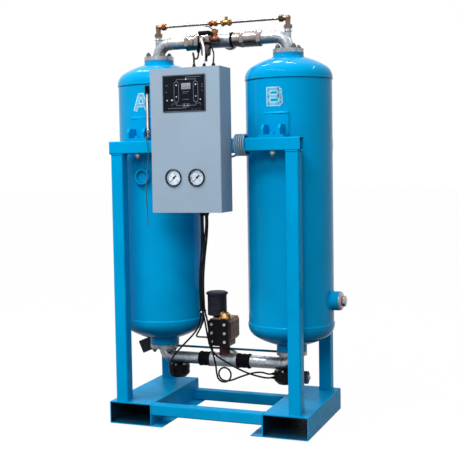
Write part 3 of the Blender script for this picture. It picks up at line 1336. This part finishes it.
class DRYER_OT_exhaust(bpy.types.Operator):
    """Models the exhaust valves, the solenoids and the cable glands"""

    bl_idname = "dryer.exhaust"
    bl_label = "Exhaust valves"

    def execute(self, context):
        from_solid("exhaust_valves", "exhaust_bodies", "black", 1.6 * MM, 3)
        seam = [(42.6, 186), (44.2, 186.4), (44.6, 187.4), (44.6, 190.6), (44.2, 191.6), (42.6, 192),
                (42.6, 186)]
        grouped("exhaust_seams", [turned(seam, at(EXHAUST_X[0], 0, 0), steps=64)], "black")
        self.bolts()
        from_solid("solenoids", "solenoid_coils", "charcoal", 2.2 * MM, 3)
        stem = [(0, 0), (5, 0), (5, 9.5), (4.2, 10.4), (0, 10.4)]
        end = at(*COIL_END)
        grouped("coil_end", [hexagon(19, 6, end, "X"), turned(stem, end, "X", 24)], "bolt")
        from_solid("cable_glands", "gland_nuts", "black", 0.5 * MM)
        return {"FINISHED"}

    def bolts(self):
        origin = Vector((0, 0, 0))
        flange = [(0, -0.6), (5.2, -0.6), (5.2, 0.4), (0, 0.4)]
        model = joined("small_bolt", [hexagon(8, 4, origin), turned(flange, origin, "Z", 20)])
        spots = []
        for x in EXHAUST_X:
            for i, (u, v) in enumerate(circle(6, 33, 30)):
                spots.append((at(x + u, v, EXHAUST_TOP), "Z", 0.4 * i))
        grouped("exhaust_bolts", copies(model, spots), "bolt")


class DRYER_OT_indicator(bpy.types.Operator):
    """Models the indicator tube on the front beam"""

    bl_idname = "dryer.indicator"
    bl_label = "Indicator"

    def execute(self, context):
        place = at(INDICATOR_X, -POST_Y, 0)
        tube = [(0, 1155), (4.7, 1155), (4.7, 1295), (0, 1295)]
        grouped("sight_tube", [turned(tube, place, steps=32)], "sight_glass", ["indicator_tube"])
        grouped("indicator_guard", [self.guard(place)], "black")
        foot = [(0, 1124), (8.5, 1124), (8.5, 1131), (7.6, 1132), (7.6, 1140), (8.5, 1141), (8.5, 1153.6),
                (7.8, 1155), (0, 1155)]
        grouped("indicator_foot", [turned(foot, place, steps=32)], "nickel", ["indicator_ends"])
        head = [(0, 1295), (8.8, 1295), (9.5, 1296), (9.5, 1302), (8.9, 1303), (8.9, 1305), (9.4, 1306),
                (9.2, 1322), (8.2, 1324.6), (0, 1325)]
        grouped("indicator_head", [turned(head, place, steps=32)], "black")
        return {"FINISHED"}

    def guard(self, place):
        """A slotted guard round the sight tube, open to the front."""
        start_clean()
        bpy.ops.mesh.primitive_plane_add(size=MM)
        obj = bpy.context.object
        obj.scale = (1.5, 140, 1)
        obj.rotation_euler = (math.pi / 2, 0, 0)
        obj.location = Vector((6.2, 0, 1225)) * MM
        settle(obj)
        edit(obj)
        bpy.ops.mesh.spin(steps=28, angle=math.radians(270), center=(0, 0, 0), axis=(0, 0, 1))
        leave()
        tidy_mesh(obj)
        return lay(obj, place, spin=math.radians(-131))


class DRYER_OT_cables(bpy.types.Operator):
    """Draws the cables, the air lines and the tie round the cables"""

    bl_idname = "dryer.cables"
    bl_label = "Cables and lines"

    def execute(self, context):
        looks = {"air_line_top": "white_tube", "vent_line": "vent_tube", "beam_hose": "grey_hose"}
        for name, route in ROUTES.items():
            points = [at(*p) for p in route]
            obj = cord_curve(name + "_run", points, CORD_RADIUS[name])
            dress(obj, looks.get(name, "cable"), [name] if name in NODES else ())
        gland = [(0, 1371), (8, 1371), (8.4, 1371.6), (8.4, 1377), (7.4, 1378), (7, 1381), (5.6, 1385.6),
                 (3.2, 1387), (0, 1387)]
        grouped("hose_gland", [turned(gland, at(*HOSE_GLAND), steps=24)], "black")
        self.tie(at(*TIE_PLACE), Vector(TIE_ALONG), TIE_R)
        return {"FINISHED"}

    def tie(self, place, along, radius):
        """A strap round the bundle and its pale lock; radius in millimetres."""
        start_clean()
        bpy.ops.mesh.primitive_torus_add(major_radius=radius * MM, minor_radius=1.2 * MM, major_segments=40,
                                         minor_segments=8)
        strap = bpy.context.object
        strap.scale = (1, 0.9, 2.0)
        settle(strap)
        lock = block((6, 5, 6), Vector((radius * 0.5, -radius * 0.8, 0)) * MM, 0.8)
        turn = along.to_track_quat("Z", "Y").to_matrix().to_4x4()
        for name, obj, look, slot in (("cable_tie", strap, "cable", "cable_black"),
                                      ("tie_head", lock, "lamp", "tube_white")):
            obj.matrix_world = Matrix.Translation(place) @ turn
            grouped(name, [settle(obj)], look)


# Stage

CAMERA_PLACE = (1.35288, -3.45442, 1.02146)
CAMERA_TURN = (21.63, 3.77, -0.99)
CAMERA_LENS = 74.05
CAMERA_SHIFT = (0.0297, -0.0072)
FLOOR_GREY = 0.24
FLOOR_GLOW = 1.037
FLOOR_SHARE = 0.95
AMBIENT = 0.16
WHITE = (1, 1, 1, 1)

# Lamps: name, place, aim or none for a lamp that hangs level, size, power, seen in mirrors
LAMPS = (
    ("tube_front", (-0.95, -2.9, 4.9), None, (4.0, 0.15), 285, True),
    ("tube_back", (-1.0, 2.65, 4.9), None, (3.1, 0.2), 66, True),
    ("tube_left", (-2.3, 2.1, 4.9), None, (1.7, 0.26), 34, True),
    ("tube_right", (3.2, 1.4, 4.9), None, (2.4, 0.2), 54, True),
    ("ceiling", (0.0, -1.1, 4.7), None, (3.2, 2.6), 42, True),
    ("fill", (-3.4, -3.0, 2.6), (0.0, 0.0, 0.7), (2.0, 2.0), 24, False),
    ("front", (1.3, -4.5, 3.1), (0.0, 0.0, 0.5), (1.4, 1.4), 76, False),
)
LAMP_TURN = -38


class DRYER_OT_stage(bpy.types.Operator):
    """Sets up the camera, the floor and the studio light"""

    bl_idname = "dryer.stage"
    bl_label = "Stage"

    def execute(self, context):
        scene = context.scene
        scene.view_settings.view_transform = "Standard"
        self.camera(scene)
        self.floor()
        self.world(scene)
        self.lamps(scene)
        return {"FINISHED"}

    def camera(self, scene):
        data = bpy.data.cameras.new("camera")
        camera = bpy.data.objects.new("camera", data)
        scene.collection.objects.link(camera)
        yaw, pitch, roll = (math.radians(a) for a in CAMERA_TURN)
        ahead = Vector((-math.sin(yaw) * math.cos(pitch), math.cos(yaw) * math.cos(pitch), -math.sin(pitch)))
        right = Vector((math.cos(yaw), math.sin(yaw), 0))
        down = ahead.cross(right)
        c, s = math.cos(roll), math.sin(roll)
        right, down = c * right - s * down, s * right + c * down
        turn = Matrix((right, -down, -ahead)).transposed().to_4x4()
        camera.matrix_world = Matrix.Translation(CAMERA_PLACE) @ turn
        data.sensor_width = 36
        data.lens = CAMERA_LENS
        data.shift_x, data.shift_y = CAMERA_SHIFT
        data.clip_end = 100
        scene.camera = camera

    def seen(self, tree):
        """1 for the rays that see the background: from the camera, through glass or off a gloss."""
        path = add(tree, "LightPath").outputs
        either = maths(tree, "MAXIMUM", path["Is Camera Ray"], path["Is Transmission Ray"])
        return maths(tree, "MAXIMUM", either, path["Is Glossy Ray"])

    def blend(self, tree, share, first, second, end):
        """Links a mix of two shaders to the output of a tree."""
        mix = add(tree, "MixShader", Fac=share)
        tree.links.new(first, mix.inputs[1])
        tree.links.new(second, mix.inputs[2])
        tree.links.new(mix.outputs["Shader"], tree.nodes[end].inputs["Surface"])

    def floor(self):
        """A floor that looks white and keeps the part's shadow."""
        start_clean()
        bpy.ops.mesh.primitive_plane_add(size=60, location=(0, 0, -0.0005))
        floor = bpy.context.object
        floor.name = "floor"
        material, tree, main = shader("pale_floor", (FLOOR_GREY,) * 3, 0.9)
        main.inputs["Specular IOR Level"].default_value = 0.1
        glow = add(tree, "Emission", Color=WHITE, Strength=FLOOR_GLOW).outputs["Emission"]
        share = maths(tree, "MULTIPLY", self.seen(tree), FLOOR_SHARE)
        self.blend(tree, share, main.outputs["BSDF"], glow, "Material Output")
        floor.data.materials.append(material)

    def world(self, scene):
        """White where it is seen, and a weak light from all sides."""
        world = bpy.data.worlds.new("studio")
        scene.world = world
        world.use_nodes = True
        tree = world.node_tree
        ambient = tree.nodes["Background"]
        ambient.inputs["Color"].default_value = WHITE
        ambient.inputs["Strength"].default_value = AMBIENT
        white = add(tree, "Background", Color=WHITE, Strength=1.0).outputs["Background"]
        self.blend(tree, self.seen(tree), ambient.outputs["Background"], white, "World Output")

    def lamps(self, scene):
        """Rows of ceiling tubes, as in a workshop, under a pale ceiling, with soft light from the front."""
        level = Matrix.Rotation(math.radians(LAMP_TURN), 4, "Z").to_euler()
        for name, place, aim, size, power, mirrored in LAMPS:
            data = bpy.data.lights.new(name, "AREA")
            data.shape = "RECTANGLE"
            data.size, data.size_y = size
            data.energy = power
            lamp = bpy.data.objects.new(name, data)
            lamp.location = place
            lamp.rotation_euler = level
            if aim:
                lamp.rotation_euler = (Vector(aim) - Vector(place)).to_track_quat("-Z", "Y").to_euler()
            lamp.visible_glossy = mirrored
            scene.collection.objects.link(lamp)


class DRYER_PT_panel(bpy.types.Panel):
    """Lists the settings and the pieces of the dryer"""

    bl_label = "Dryer"
    bl_idname = "DRYER_PT_panel"
    bl_space_type = "VIEW_3D"
    bl_region_type = "UI"
    bl_category = "Dryer"

    def draw(self, context):
        for group in (context.scene.dryer_colours, context.scene.dryer_sizes):
            for key in group.bl_rna.properties.keys():
                if key not in ("rna_type", "name"):
                    self.layout.prop(group, key)
        for operator in OPERATORS:
            self.layout.operator(operator.bl_idname)


OPERATORS = (DRYER_OT_solids, DRYER_OT_frame, DRYER_OT_towers, DRYER_OT_fasteners, DRYER_OT_box,
             DRYER_OT_gauges, DRYER_OT_pipes, DRYER_OT_purge, DRYER_OT_valve, DRYER_OT_exhaust,
             DRYER_OT_indicator, DRYER_OT_cables, DRYER_OT_stage)
CLASSES = (DryerColours, DryerSizes, *OPERATORS, DRYER_PT_panel)


def register():
    for cls in CLASSES:
        bpy.utils.register_class(cls)
    bpy.types.Scene.dryer_colours = PointerProperty(type=DryerColours)
    bpy.types.Scene.dryer_sizes = PointerProperty(type=DryerSizes)


def unregister():
    del bpy.types.Scene.dryer_sizes
    del bpy.types.Scene.dryer_colours
    for cls in reversed(CLASSES):
        bpy.utils.unregister_class(cls)


def main():
    register()
    for operator in OPERATORS:
        group, name = operator.bl_idname.split(".")
        getattr(getattr(bpy.ops, group), name)()
    start_clean()
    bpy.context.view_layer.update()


if __name__ == "__main__":
    main()
